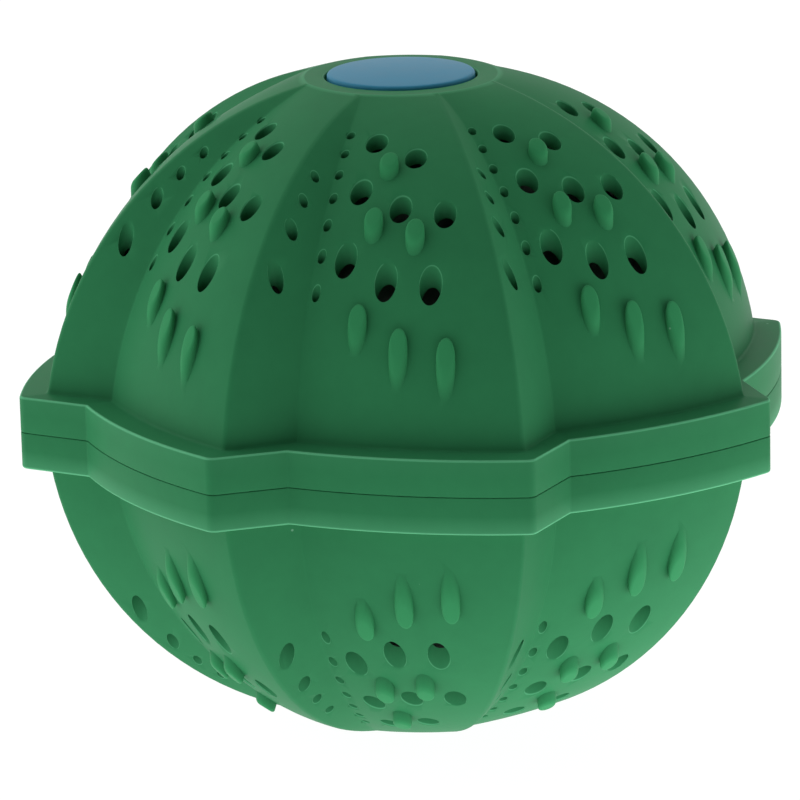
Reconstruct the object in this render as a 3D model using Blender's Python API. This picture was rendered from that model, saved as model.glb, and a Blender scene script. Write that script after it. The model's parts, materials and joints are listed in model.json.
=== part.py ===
"""Laundry ball.

Two soft half shells meet at a saw-toothed flange and cover a slotted cage, also in two halves.
A cross-shaped divider makes four chambers of ceramic beads inside the cage, and its middle tube
holds two bar magnets. A cap at each pole pins its shell to the cage.

Run it in Blender 4.5. Blender works in metres, with +Z up. The origin is on the floor, on the
ball's axis, and the ball's centre stands above it. Heights in the functions are from the centre.
"""

import math

import bmesh
import bpy
from mathutils import Matrix, Vector
from mathutils.bvhtree import BVHTree

MM = 0.001
DEGREE = math.pi / 180

# Clearances
GAP = 0.3 * MM                      # between pieces that seat on each other
CAGE_ROOM = 0.85 * MM               # between the cage and the shell, at the valleys of the rim
CUTTER_OVERRUN = 1.0 * MM           # how far a cutter runs past the wall it cuts
MERGE = 0.01 * MM                   # points this close together are one

# Panels round the ball
PANELS = 8
PANEL_TURN = 360 * DEGREE / PANELS
FIRST_RIDGE = 16.75 * DEGREE        # one ridge, counted from +X
STEP_TURN = 9.0 * DEGREE            # the narrow step face, from its ridge to its valley
FACE_SPANS = 3                      # facets across a wide face

# Shell: two arcs from the flange up to the flat ring round the cap
SHELL_RIDGE_R = 46.9 * MM
SHELL_VALLEY_R = 40.65 * MM
RIDGE_ARC_R = 44.3 * MM
VALLEY_ARC_R = 46.3 * MM
SHELL_BOW = 0.052
SHELL_WALL = 1.7 * MM
STEP_FADE = 3.5                     # how fast the step face narrows towards the ring, as a power
STEP_LEFT = 0.2                     # share of its turn that is left at the ring
INNER_TURN = 1.4 * DEGREE           # turns the inner corners back, so the step face keeps its wall
RING_R = 12.2 * MM                  # flat ring round the cap
RING_HEIGHT = 40.9 * MM
OUTER_ROWS = 5
INNER_ROWS = 5

# Flange where the two shells meet
FLANGE_REACH = 3.1 * MM             # how far it stands out from the shell
FLANGE_HALF = 4.6 * MM              # height of each half
FLANGE_BOW = 0.057                  # bow of a wide face as a share of its width
FLANGE_EDGE = 0.4 * MM              # softened upper edge
GROOVE_DEPTH = 2.2 * MM
GROOVE_WALL = 0.32                  # wall beside the groove, as a share of the flange's thickness

# Holes in a wide face, formed along the mould's pull, in columns that run beside the valley.
# A column is given by its distance from the valley and the distances of its ends from the axis
HOLE_D = 2.8 * MM
HOLE_SIDES = 6
ROW_PITCH = 5.9 * MM                # along a column, also for the posts
HOLE_COLUMNS = (
    (3.8 * MM, 20.35 * MM, 32.15 * MM),
    (9.2 * MM, 21.95 * MM, 33.75 * MM),
    (14.6 * MM, 27.6 * MM, 33.5 * MM),
)

# Posts between the holes, laid out in the same way: low ones, and long ones near the flange. A post
# stands upright, and its top is flatter than the shell beneath it
POST_D = 2.45 * MM
POST_SIDES = 5
POST_TOP_TURN = 0.85                # slant of a post's top, as a share of the shell's slant
LOW_POST_RISE = 1.15 * MM           # from the shell to the middle of the top
LOW_POST_COLUMNS = (
    (6.7 * MM, 23.85 * MM, 29.75 * MM),
    (12.0 * MM, 30.3 * MM, 30.3 * MM),
)
LONG_POST_RISE = 1.6 * MM
LONG_POST_COLUMNS = (
    (6.6 * MM, 36.65 * MM, 36.65 * MM),
    (11.95 * MM, 37.65 * MM, 37.65 * MM),
    (17.7 * MM, 37.25 * MM, 37.25 * MM),
)

# Caps
CAP_R = 9.2 * MM
CAP_SEAT_DEPTH = 1.1 * MM
CAP_DOME = 0.8 * MM                 # how far the upper cap's crown stands above the ring
CAP_EDGE = 0.8 * MM
CAP_SPANS = 16                      # facets round a cap
STEM_R = 4.0 * MM
STEM_LENGTH = 8.0 * MM

# Cage
CAGE_WALL = 2.0 * MM
CAGE_SPANS = 24                     # facets round the cage
CAGE_ARC_SPANS = 5                  # facets from its pole to its rim
RIM_LIP = 1.5 * MM                  # height of the lip that centres the halves
LIP_WALL = 0.8 * MM
SOCKET_WALL = 2.0 * MM
SLOTS = 8
SLOT_FOOT = 6.0 * MM                # height of a slot's lower end
SLOT_HEAD = 29.0 * MM               # height of its upper end
SLOT_FOOT_WIDTH = 7.0 * MM
SLOT_HEAD_WIDTH = 4.5 * MM

# Divider and magnets
FIN_THICKNESS = 1.6 * MM
TUBE_WALL = 1.6 * MM
TUBE_SPANS = 12
MAGNET_R = 4.5 * MM
MAGNET_LENGTH = 20.0 * MM

# Beads: name, diameter, colour
BEADS_PER_CHAMBER = 8
POUR_GRID = 0.5 * MM                # spacing of the places that a poured bead tries
BEAD_KINDS = (
    ("white", 8.0 * MM, (0.86, 0.84, 0.80)),
    ("grey", 8.5 * MM, (0.42, 0.43, 0.44)),
    ("clay", 8.0 * MM, (0.62, 0.33, 0.20)),
    ("sand", 8.5 * MM, (0.74, 0.62, 0.42)),
)

# Colours
GREEN = (0.035, 0.155, 0.066)
BLUE = (0.075, 0.225, 0.40)
NATURAL = (0.70, 0.72, 0.70)
FERRITE = (0.055, 0.055, 0.06)

# Sizes that follow from those above
FLANGE_RIDGE_R = SHELL_RIDGE_R + FLANGE_REACH
FLANGE_VALLEY_R = SHELL_VALLEY_R + FLANGE_REACH
SEAT_R = CAP_R + GAP
STEM_HOLE_R = STEM_R + GAP
SEAT_HEIGHT = RING_HEIGHT - CAP_SEAT_DEPTH
SHELL_ROOF = RING_HEIGHT - SHELL_WALL


def arc_radius(foot_r, arc_r, top_height, height):
    """Radius, at a height, of the arc that bulges from (foot_r, 0) up to the ring at top_height."""
    chord = Vector((RING_R - foot_r, top_height))
    inward = Vector((-chord.y, chord.x)).normalized()
    depth = math.sqrt(arc_r ** 2 - (chord.length / 2) ** 2)
    centre = Vector((foot_r, 0)) + chord / 2 + inward * depth
    return centre.x + math.sqrt(max(0.0, arc_r ** 2 - (height - centre.y) ** 2))


def room_in_shell():
    """Radius of the largest ball that fits inside the shell's valleys and under its roof."""
    foot_r = SHELL_VALLEY_R - SHELL_WALL
    arc_r = VALLEY_ARC_R - SHELL_WALL
    heights = [SHELL_ROOF * row / INNER_ROWS for row in range(INNER_ROWS + 1)]
    valley = [math.hypot(arc_radius(foot_r, arc_r, SHELL_ROOF, height), height) for height in heights]
    return min(valley + [SHELL_ROOF])


CAGE_R = room_in_shell() - CAGE_ROOM
CAGE_INNER_R = CAGE_R - CAGE_WALL
CAP_FOOT = SEAT_HEIGHT + GAP
STEM_END = CAP_FOOT - STEM_LENGTH
SOCKET_FLOOR = STEM_END - GAP
SOCKET_END = SOCKET_FLOOR - CAGE_WALL
SOCKET_R = STEM_HOLE_R + SOCKET_WALL
TUBE_END = SOCKET_END - GAP
TUBE_R = MAGNET_R + GAP + TUBE_WALL
FIN_R = CAGE_INNER_R - GAP
ROUND_BOW = math.tan((PANEL_TURN - STEP_TURN) / 4) / 2   # bow of a face that lies on a circle


def corner(radius, turn):
    """The point seen from above at a radius and a turn round the axis."""
    return Vector((radius * math.cos(turn), radius * math.sin(turn)))


def step_shift(radius):
    """Turn by which each edge of the step face moves to its middle, so that it fades out at the ring."""
    return STEP_TURN / 2 * (1 - STEP_LEFT) * min(1.0, RING_R / radius) ** STEP_FADE


def saw_outline(ridge_r, valley_r, bow, turned_back=0.0):
    """The saw-toothed outline seen from above: ridge, valley and bowed wide face, panel after panel."""
    outline = []
    shift = step_shift(valley_r)
    for panel in range(PANELS):
        start = FIRST_RIDGE + panel * PANEL_TURN - turned_back + shift
        valley = corner(valley_r, start + STEP_TURN - 2 * shift)
        across = corner(ridge_r, start + PANEL_TURN) - valley
        outward = Vector((across.y, -across.x))
        outline += [corner(ridge_r, start), valley]
        for span in range(1, FACE_SPANS):
            share = span / FACE_SPANS
            outline.append(valley + across * share + outward * (4 * bow * share * (1 - share)))
    return outline


def round_outline(radius):
    """A circle with as many points as a saw-toothed outline, at the same places."""
    shift = step_shift(radius)
    span_turn = (PANEL_TURN - STEP_TURN + 2 * shift) / FACE_SPANS
    points = []
    for panel in range(PANELS):
        start = FIRST_RIDGE + panel * PANEL_TURN + shift
        valley = start + STEP_TURN - 2 * shift
        points.append(corner(radius, start))
        points += [corner(radius, valley + span_turn * span) for span in range(FACE_SPANS)]
    return points


def between(outline_a, outline_b, share):
    """The outline a share of the way from one outline to another."""
    return [a.lerp(b, share) for a, b in zip(outline_a, outline_b)]


def at_height(outline, height):
    """The outline as a loop of points at one height."""
    return [Vector((point.x, point.y, height)) for point in outline]


def dome_outline(height, inset):
    """The shell's outline at a height: its outer face, or its inner face when inset by the wall."""
    top_height = RING_HEIGHT - inset
    share = height / top_height
    ridge_r = arc_radius(SHELL_RIDGE_R - inset, RIDGE_ARC_R - inset, top_height, height)
    valley_r = arc_radius(SHELL_VALLEY_R - inset, VALLEY_ARC_R - inset, top_height, height)
    bow = SHELL_BOW + (ROUND_BOW - SHELL_BOW) * share ** 3
    turned_back = INNER_TURN * (1 - share) if inset else 0.0
    return saw_outline(ridge_r, valley_r, bow, turned_back)


def dome_loops(low, top_height, rows, inset):
    """Loops from the ring down to a low height, spaced evenly along a quarter circle."""
    start = math.asin(low / top_height)
    loops = []
    for row in range(1, rows + 1):
        angle = math.pi / 2 + (start - math.pi / 2) * row / rows
        height = top_height * math.sin(angle)
        loops.append(at_height(dome_outline(height, inset), height))
    return loops


def flange_joint_loops(rib):
    """Loops across the face where the halves meet, from outside in, with a rib or a groove."""
    face = GAP / 2
    outer = saw_outline(FLANGE_RIDGE_R, FLANGE_VALLEY_R, FLANGE_BOW)
    inner = dome_outline(0.0, SHELL_WALL)
    thickness = FLANGE_REACH + SHELL_WALL
    wall = GROOVE_WALL
    depth = face + GROOVE_DEPTH
    if rib:
        wall += GAP / thickness
        depth = face - GROOVE_DEPTH + GAP
    near = between(outer, inner, wall)
    far = between(outer, inner, 1 - wall)
    loops = [at_height(outer, face), at_height(near, face), at_height(near, depth)]
    loops += [at_height(far, depth), at_height(far, face), at_height(inner, face)]
    return loops


def shell_loops(rib):
    """Every loop of a half shell in order: pole hole, cap seat, ring, dome, flange and inner face."""
    loops = [
        at_height(round_outline(STEM_HOLE_R), SEAT_HEIGHT),
        at_height(round_outline(SEAT_R), SEAT_HEIGHT),
        at_height(round_outline(SEAT_R), RING_HEIGHT),
        at_height(round_outline(RING_R), RING_HEIGHT),
    ]
    loops += dome_loops(FLANGE_HALF, RING_HEIGHT, OUTER_ROWS, 0.0)
    edge_r = FLANGE_RIDGE_R - FLANGE_EDGE
    edge = saw_outline(edge_r, FLANGE_VALLEY_R - FLANGE_EDGE, FLANGE_BOW)
    rim = saw_outline(FLANGE_RIDGE_R, FLANGE_VALLEY_R, FLANGE_BOW)
    loops.append(at_height(edge, FLANGE_HALF))
    loops.append(at_height(rim, FLANGE_HALF - FLANGE_EDGE))
    loops += flange_joint_loops(rib)
    loops += reversed(dome_loops(FLANGE_HALF, SHELL_ROOF, INNER_ROWS, SHELL_WALL))
    loops.append(at_height(round_outline(RING_R), SHELL_ROOF))
    loops.append(at_height(round_outline(STEM_HOLE_R), SHELL_ROOF))
    return loops


def loft(mesh, loops):
    """Bridge each loop to the next, and the last to the first, into one closed skin."""
    rows = [[mesh.verts.new(point) for point in loop] for loop in loops]
    for upper, lower in zip(rows, rows[1:] + rows[:1]):
        for index in range(len(upper)):
            after = (index + 1) % len(upper)
            mesh.faces.new((upper[index], lower[index], lower[after], upper[after]))


def panel_places(columns):
    """Places seen from above, on every panel, of columns that run beside the valley."""
    places = []
    for panel in range(PANELS):
        turn = FIRST_RIDGE + panel * PANEL_TURN + STEP_TURN
        along = corner(1.0, turn)
        across = corner(1.0, turn + math.pi / 2)
        for offset, first, last in columns:
            rows = 1 + round((last - first) / ROW_PITCH)
            places += [along * (first + ROW_PITCH * row) + across * offset for row in range(rows)]
    return places


def surface_at(tree, place, outside):
    """The shell's outer or inner surface over a place: its height and its upward normal."""
    far = 2 * RING_HEIGHT
    if outside:
        point, normal, _, _ = tree.ray_cast(Vector((place.x, place.y, far)), Vector((0, 0, -1)))
    else:
        point, normal, _, _ = tree.ray_cast(Vector((place.x, place.y, FLANGE_HALF)), Vector((0, 0, 1)))
        normal = -normal
    return point.z, normal


def add_hole_cutters(mesh, tree):
    """Upright prisms through the wall at every hole."""
    for place in panel_places(HOLE_COLUMNS):
        top, normal = surface_at(tree, place, True)
        bottom, _ = surface_at(tree, place, False)
        slope = math.hypot(normal.x, normal.y) / normal.z
        reach = slope * HOLE_D / 2 + CUTTER_OVERRUN
        depth = top - bottom + 2 * reach
        turn = Matrix.Rotation(math.atan2(place.y, place.x), 4, "Z")
        middle = Matrix.Translation((place.x, place.y, (top + bottom) / 2))
        bmesh.ops.create_cone(mesh, cap_ends=True, segments=HOLE_SIDES, radius1=HOLE_D / 2,
                              radius2=HOLE_D / 2, depth=depth, matrix=middle @ turn)


def add_posts(mesh, tree, columns, rise):
    """Upright posts with slanted tops, rooted in the shell."""
    for place in panel_places(columns):
        height, normal = surface_at(tree, place, True)
        slant = math.acos(normal.z)
        downhill = Vector((normal.x, normal.y)).normalized()
        turn = Matrix.Rotation(math.atan2(place.y, place.x), 4, "Z")
        middle = Matrix.Translation((place.x, place.y, height))
        post = bmesh.ops.create_cone(mesh, cap_ends=True, segments=POST_SIDES, radius1=POST_D / 2,
                                     radius2=POST_D / 2, depth=SHELL_WALL, matrix=middle @ turn)
        for vert in post["verts"]:
            reach = downhill.dot(vert.co.xy - place)
            if vert.co.z > height:
                vert.co.z = height + rise - reach * math.tan(slant * POST_TOP_TURN)
            else:
                vert.co.z = height - SHELL_WALL / 2 / normal.z - reach * math.tan(slant)


def cage_inner_angles():
    """Angles above the rim of the points along the cage's inner face, up to the socket's wall."""
    end = math.acos(SOCKET_R / CAGE_INNER_R)
    return [end * span / CAGE_ARC_SPANS for span in range(CAGE_ARC_SPANS + 1)]


def cage_profile(lip):
    """Half section of a cage half: socket, outer arc, rim with its lip or rebate, inner arc, socket wall."""
    face = GAP / 2
    points = [(0.0, SOCKET_FLOOR), (STEM_HOLE_R, SOCKET_FLOOR)]
    start = math.acos(STEM_HOLE_R / CAGE_R)
    for span in range(CAGE_ARC_SPANS + 1):
        angle = start * (1 - span / CAGE_ARC_SPANS)
        points.append((CAGE_R * math.cos(angle), max(face, CAGE_R * math.sin(angle))))
    split_r = CAGE_INNER_R + LIP_WALL
    step = face - RIM_LIP
    if not lip:
        split_r += GAP
        step = face + RIM_LIP
    points += [(split_r, face), (split_r, step), (CAGE_INNER_R, step)]
    for angle in cage_inner_angles()[1:]:
        points.append((CAGE_INNER_R * math.cos(angle), CAGE_INNER_R * math.sin(angle)))
    points += [(SOCKET_R, SOCKET_END), (0.0, SOCKET_END)]
    return points


def cap_profile(dome, sunk):
    """Half section of a cap: crown, softened edge, underside and stem."""
    top = RING_HEIGHT - sunk
    shoulder = CAP_R - CAP_EDGE
    crown = [(radius, top + dome * (1 - (radius / CAP_R) ** 2)) for radius in (0.0, shoulder / 2, shoulder)]
    return crown + [
        (CAP_R, top - CAP_EDGE / 2),
        (CAP_R, CAP_FOOT),
        (STEM_R, CAP_FOOT),
        (STEM_R, STEM_END),
        (0.0, STEM_END),
    ]


def turned_mesh(name, profile, steps):
    """A mesh turned round the axis from a half section that starts and ends on the axis."""
    mesh = bmesh.new()
    verts = [mesh.verts.new((radius, 0.0, height)) for radius, height in profile]
    edges = [mesh.edges.new(pair) for pair in zip(verts, verts[1:])]
    bmesh.ops.spin(mesh, geom=verts + edges, cent=(0, 0, 0), axis=(0, 0, 1),
                   angle=2 * math.pi, steps=steps, use_merge=True)
    bmesh.ops.remove_doubles(mesh, verts=mesh.verts, dist=MERGE)
    return finished_mesh(name, mesh)


def finished_mesh(name, mesh, flipped=False):
    """Turn the working mesh into mesh data, as made or mirrored to the lower half."""
    if flipped:
        bmesh.ops.scale(mesh, vec=(1, 1, -1), verts=mesh.verts)
    bmesh.ops.recalc_face_normals(mesh, faces=mesh.faces)
    data = bpy.data.meshes.new(name)
    mesh.to_mesh(data)
    mesh.free()
    return data


def make_material(name, colour, roughness, metallic=0.0):
    """A plain material with the piece's colour and finish."""
    material = bpy.data.materials.new(name)
    material.use_nodes = True
    shader = material.node_tree.nodes["Principled BSDF"]
    shader.inputs["Base Color"].default_value = (*colour, 1.0)
    shader.inputs["Roughness"].default_value = roughness
    shader.inputs["Metallic"].default_value = metallic
    return material


class Ball:
    """The ball's collections, its centre and the calls that add pieces to them."""

    def __init__(self):
        for item in list(bpy.data.objects):
            bpy.data.objects.remove(item)
        self.parts = bpy.data.collections.new("laundry_ball")
        self.cutters = bpy.data.collections.new("laundry_ball_cutters")
        for group in (self.parts, self.cutters):
            bpy.context.scene.collection.children.link(group)
        self.centre = bpy.data.objects.new("ball_centre", None)
        self.centre.location = (0, 0, RING_HEIGHT)
        self.parts.objects.link(self.centre)
        self.rubber = make_material("green_rubber", GREEN, roughness=0.55)
        self.blue = make_material("blue_plastic", BLUE, roughness=0.4)
        self.natural = make_material("natural_plastic", NATURAL, roughness=0.5)
        self.ferrite = make_material("ferrite", FERRITE, roughness=0.45, metallic=0.3)

    def piece(self, name, data, material, place=(0, 0, 0)):
        """One solid of the ball, placed from the ball's centre."""
        item = bpy.data.objects.new(name, data)
        item.parent = self.centre
        item.location = place
        if not data.materials:
            data.materials.append(material)
        self.parts.objects.link(item)
        return item

    def cut(self, item, name, data, operation):
        """Join or cut an object with a hidden one by a Boolean modifier."""
        tool = bpy.data.objects.new(name, data)
        tool.parent = self.centre
        tool.display_type = "WIRE"
        tool.hide_render = True
        self.cutters.objects.link(tool)
        boolean = item.modifiers.new(name, "BOOLEAN")
        boolean.operation = operation
        boolean.solver = "EXACT"
        boolean.object = tool


def add_shell(ball, side, flipped):
    """A half shell with its posts and holes. The lower one is the mirror image, with the groove."""
    skin = bmesh.new()
    loft(skin, shell_loops(rib=not flipped))
    skin.normal_update()
    tree = BVHTree.FromBMesh(skin)
    posts = bmesh.new()
    add_posts(posts, tree, LOW_POST_COLUMNS, LOW_POST_RISE)
    add_posts(posts, tree, LONG_POST_COLUMNS, LONG_POST_RISE)
    holes = bmesh.new()
    add_hole_cutters(holes, tree)
    shell = ball.piece(side + "_shell", finished_mesh(side + "_shell", skin, flipped), ball.rubber)
    ball.cut(shell, side + "_posts", finished_mesh(side + "_posts", posts, flipped), "UNION")
    ball.cut(shell, side + "_holes", finished_mesh(side + "_holes", holes, flipped), "DIFFERENCE")


def add_cap(ball, side, flipped):
    """A cap with its stem. The upper one has a low dome, and the lower is flat and a little sunk."""
    profile = cap_profile(0.0, GAP) if flipped else cap_profile(CAP_DOME, 0.0)
    cap = ball.piece(side + "_cap", turned_mesh(side + "_cap", profile, CAP_SPANS), ball.blue)
    if flipped:
        cap.rotation_euler.x = math.pi


def add_cage(ball, side, flipped):
    """A slotted cage half with a socket at its pole."""
    data = turned_mesh(side + "_cage", cage_profile(lip=flipped), CAGE_SPANS)
    cage = ball.piece(side + "_cage", data, ball.blue)
    slots = bmesh.new()
    for index in range(SLOTS):
        middle = Matrix.Translation((CAGE_R, 0, (SLOT_FOOT + SLOT_HEAD) / 2))
        size = Matrix.Diagonal((CAGE_R, SLOT_FOOT_WIDTH, SLOT_HEAD - SLOT_FOOT, 1))
        turn = Matrix.Rotation((index + 0.5) * 2 * math.pi / SLOTS, 4, "Z")
        slot = bmesh.ops.create_cube(slots, size=1.0, matrix=middle @ size)["verts"]
        for vert in slot:
            if vert.co.z > middle.translation.z:
                vert.co.y *= SLOT_HEAD_WIDTH / SLOT_FOOT_WIDTH
        bmesh.ops.transform(slots, matrix=turn, verts=slot)
    ball.cut(cage, side + "_slots", finished_mesh(side + "_slots", slots), "DIFFERENCE")
    if flipped:
        cage.rotation_euler.x = math.pi
        ball.cutters.objects[side + "_slots"].rotation_euler.x = math.pi


def fin_mesh(name, turn):
    """An upright fin that follows the inside of the cage from pole to pole."""
    arc = [(FIN_R * math.cos(angle), FIN_R * math.sin(angle)) for angle in cage_inner_angles()]
    outline = arc + [(-x, z) for x, z in reversed(arc)]
    outline += [(-x, -z) for x, z in arc[1:]] + [(x, -z) for x, z in reversed(arc[1:])]
    fin = bmesh.new()
    face = fin.faces.new([fin.verts.new((x, -FIN_THICKNESS / 2, z)) for x, z in outline])
    side = bmesh.ops.extrude_face_region(fin, geom=[face], use_keep_orig=True)["geom"]
    moved = [item for item in side if isinstance(item, bmesh.types.BMVert)]
    bmesh.ops.translate(fin, vec=(0, FIN_THICKNESS, 0), verts=moved)
    bmesh.ops.rotate(fin, cent=(0, 0, 0), matrix=Matrix.Rotation(turn, 3, "Z"), verts=fin.verts)
    return finished_mesh(name, fin)


def add_divider(ball):
    """Two crossed round fins and a middle tube with a pocket for a magnet at each end."""
    divider = ball.piece("divider", fin_mesh("divider", 0.0), ball.natural)
    ball.cut(divider, "cross_fin", fin_mesh("cross_fin", math.pi / 2), "UNION")
    tube = bmesh.new()
    bmesh.ops.create_cone(tube, cap_ends=True, segments=TUBE_SPANS, radius1=TUBE_R, radius2=TUBE_R,
                          depth=2 * TUBE_END)
    ball.cut(divider, "tube", finished_mesh("tube", tube), "UNION")
    pocket_floor = TUBE_END - MAGNET_LENGTH - 2 * GAP
    room_r = max(SOCKET_R, TUBE_R) + GAP
    pocket = [
        (0.0, pocket_floor),
        (MAGNET_R + GAP, pocket_floor),
        (MAGNET_R + GAP, TUBE_END),
        (room_r, TUBE_END),
        (room_r, CAGE_R),
        (0.0, CAGE_R),
    ]
    for side, sign in (("upper", 1), ("lower", -1)):
        ends = [(radius, sign * height) for radius, height in pocket]
        ball.cut(divider, side + "_pocket", turned_mesh(side + "_pocket", ends, TUBE_SPANS), "DIFFERENCE")


def add_magnets(ball):
    """A bar magnet in each pocket. Each lies at the lower end of its pocket."""
    for side, foot in (("lower", -SOCKET_END + GAP), ("upper", TUBE_END - MAGNET_LENGTH - GAP)):
        rod = bmesh.new()
        middle = Matrix.Translation((0, 0, foot + MAGNET_LENGTH / 2))
        bmesh.ops.create_cone(rod, cap_ends=True, segments=TUBE_SPANS, radius1=MAGNET_R, radius2=MAGNET_R,
                              depth=MAGNET_LENGTH, matrix=middle)
        ball.piece(side + "_magnet", finished_mesh(side + "_magnet", rod), ball.ferrite)


def resting_height(place, radius, settled):
    """Lowest height at which a bead over a place clears the cage and the beads already there."""
    reach = CAGE_INNER_R - GAP - radius
    height = -math.sqrt(max(0.0, reach ** 2 - place.length ** 2))
    for other in settled:
        apart = (place - other.xy).length
        touch = 2 * radius + GAP
        if apart < touch:
            height = max(height, other.z + math.sqrt(touch ** 2 - apart ** 2))
    return height


def poured_beads(radius):
    """Bead centres in the first chamber, each bead dropped into the lowest place that is left."""
    wall = FIN_THICKNESS / 2 + GAP + radius
    inner = max(TUBE_R, SOCKET_R) + GAP + radius
    outer = CAGE_INNER_R - GAP - radius
    steps = range(int((outer - wall) / POUR_GRID) + 1)
    places = [Vector((wall + POUR_GRID * i, wall + POUR_GRID * j)) for i in steps for j in steps]
    places = [place for place in places if inner <= place.length <= outer]
    settled = []
    for _ in range(BEADS_PER_CHAMBER):
        height, index = min((resting_height(place, radius, settled), i) for i, place in enumerate(places))
        settled.append(Vector((places[index].x, places[index].y, height)))
    return settled


def add_beads(ball):
    """One kind of bead in each chamber of the lower half."""
    for chamber, (kind, diameter, colour) in enumerate(BEAD_KINDS):
        round_bead = bmesh.new()
        bmesh.ops.create_icosphere(round_bead, subdivisions=2, radius=diameter / 2)
        data = finished_mesh(kind + "_bead", round_bead)
        material = make_material(kind + "_ceramic", colour, roughness=0.6)
        turn = Matrix.Rotation(chamber * math.pi / 2, 3, "Z")
        for number, centre in enumerate(poured_beads(diameter / 2), 1):
            ball.piece(f"{kind}_bead_{number}", data, material, turn @ centre)


def build():
    """Model the whole ball."""
    ball = Ball()
    for side, flipped in (("lower", True), ("upper", False)):
        add_shell(ball, side, flipped)
        add_cap(ball, side, flipped)
        add_cage(ball, side, flipped)
    add_divider(ball)
    add_magnets(ball)
    add_beads(ball)


build()
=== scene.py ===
"""Laundry ball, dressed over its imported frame.

Two soft half shells with a saw-toothed flange cover a slotted cage. A cross-shaped divider with a
middle tube holds two bar magnets and makes four chambers of ceramic beads. A cap closes each pole.
The ball stands on the floor at z = 0 with its axis upright. Run it in Blender 4.5 as a script.
"""

import json
import math

import bmesh
import bpy
from bpy.props import FloatProperty, FloatVectorProperty, IntProperty, PointerProperty
from mathutils import Matrix, Vector, noise
from mathutils.bvhtree import BVHTree
from mathutils.kdtree import KDTree


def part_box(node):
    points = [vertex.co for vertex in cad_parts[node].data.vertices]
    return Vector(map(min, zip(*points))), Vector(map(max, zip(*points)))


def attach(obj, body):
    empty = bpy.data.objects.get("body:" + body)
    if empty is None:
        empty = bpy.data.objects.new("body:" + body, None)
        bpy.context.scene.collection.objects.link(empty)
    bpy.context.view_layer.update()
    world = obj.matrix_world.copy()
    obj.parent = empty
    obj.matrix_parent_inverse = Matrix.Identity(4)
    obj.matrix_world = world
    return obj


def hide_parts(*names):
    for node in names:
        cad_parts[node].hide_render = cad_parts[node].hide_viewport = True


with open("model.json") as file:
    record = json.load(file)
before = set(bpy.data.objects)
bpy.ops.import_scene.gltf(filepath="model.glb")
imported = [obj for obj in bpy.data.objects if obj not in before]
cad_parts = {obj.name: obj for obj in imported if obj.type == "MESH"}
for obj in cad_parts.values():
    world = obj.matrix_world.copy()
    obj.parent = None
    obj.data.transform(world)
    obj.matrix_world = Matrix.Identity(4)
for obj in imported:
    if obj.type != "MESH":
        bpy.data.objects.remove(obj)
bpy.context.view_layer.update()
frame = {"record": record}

bl_info = {
    "name": "Laundry Ball",
    "version": (1, 0, 0),
    "blender": (4, 5, 0),
    "location": "3D View > Sidebar > Laundry Ball",
    "description": "Models the soft shells, caps, cage, divider, magnets and beads of a laundry ball",
    "category": "Object",
}

MM = 0.001
DEGREE = math.pi / 180

# Panels round the ball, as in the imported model
PANELS = 8
PANEL_TURN = 45.0 * DEGREE
FIRST_RIDGE = 16.75 * DEGREE
STEP_TURN = 9.0 * DEGREE
INNER_TURN = 1.4 * DEGREE           # turns the inner corners back, so the step face keeps its wall
CIRCLE_BOW = math.tan((PANEL_TURN - STEP_TURN) / 4) / 2

STEP_FADE = 3.5                     # how fast the step face narrows towards the ring, as a power
STEP_LEFT = 0.12                    # share of its turn that is left at the ring

# How finely shapes are made
SHARP_ANGLE = 32.0 * DEGREE         # an edge that turns more than this stays sharp
DOME_ROWS = 28                      # levels of the dome outside
INNER_ROWS = 12                     # levels of the dome inside
FACE_STEPS = 14                     # across a wide face
HOLE_STEPS = 28                     # round a hole
PINHOLE_STEPS = 18                  # round a pinhole or a hole in a step face
POST_STEPS = 32                     # round a post
CAP_STEPS = 96                      # round a cap or a cage half
CROWN_STEPS = 12                    # from the middle of a cap's crown to its rim
ARC_STEPS = 30                      # up a cage half
FIN_STEPS = 24                      # along a quarter of a fin's outline
TUBE_STEPS = 64                     # round the tube, its pockets or a magnet

# Roundings
RIDGE_ROUND = 0.75 * MM
VALLEY_ROUND = 0.45 * MM
INNER_RIDGE_ROUND = 0.3 * MM
INNER_VALLEY_ROUND = 1.2 * MM
POINT_ROUND = 1.3 * MM              # the flange's points and notches, seen from above
NOTCH_ROUND = 0.5 * MM
SEAT_ROUND = 0.3 * MM
RING_ROUND = 0.35 * MM
FOOT_ROUND = 0.35 * MM              # where the dome meets the flange
FLANGE_ROUND = 0.32 * MM            # the flange's outer edge
SEAM_ROUND = {"upper": 0.2 * MM, "lower": 0.12 * MM}        # the edge beside the parting line
POST_ROUND = 0.4 * MM
CAP_FOOT_ROUND = 0.2 * MM
STEM_ROUND = 0.4 * MM
SLOT_ROUND = 1.6 * MM
FIN_ROUND = 0.3 * MM
TUBE_ROUND = 0.3 * MM
MAGNET_ROUND = 0.4 * MM

# Fit between pieces
GAP = 0.3 * MM
SEAM = 0.015 * MM                   # from the middle plane to the face where the soft shells meet
MERGE = 0.004 * MM                  # points that lie closer become one

# Arcs of the shell above the flange
RIDGE_ARC_R = 44.3 * MM
VALLEY_ARC_R = 46.3 * MM
SHELL_BOW = 0.052                   # bow of a wide face as a share of its width
FLANGE_BOW = 0.057

# Joint between the half shells
GROOVE_DEPTH = 2.2 * MM
GROOVE_WALL = 0.32                  # wall beside the groove, as a share of the flange's thickness

# Light and camera
CAMERA_SHIFT = (-0.0103, -0.0089)   # of the picture, as shares of its width
PATCH_POWER = 6.0                   # how tightly each patch of the tent's light gathers round its middle
FLOOR_WHITE = 0.88                  # share of the floor's look that no shadow falls on
FLOOR_LIFT = 1.115                  # makes up for what the rest, white paint, keeps from being white

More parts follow.
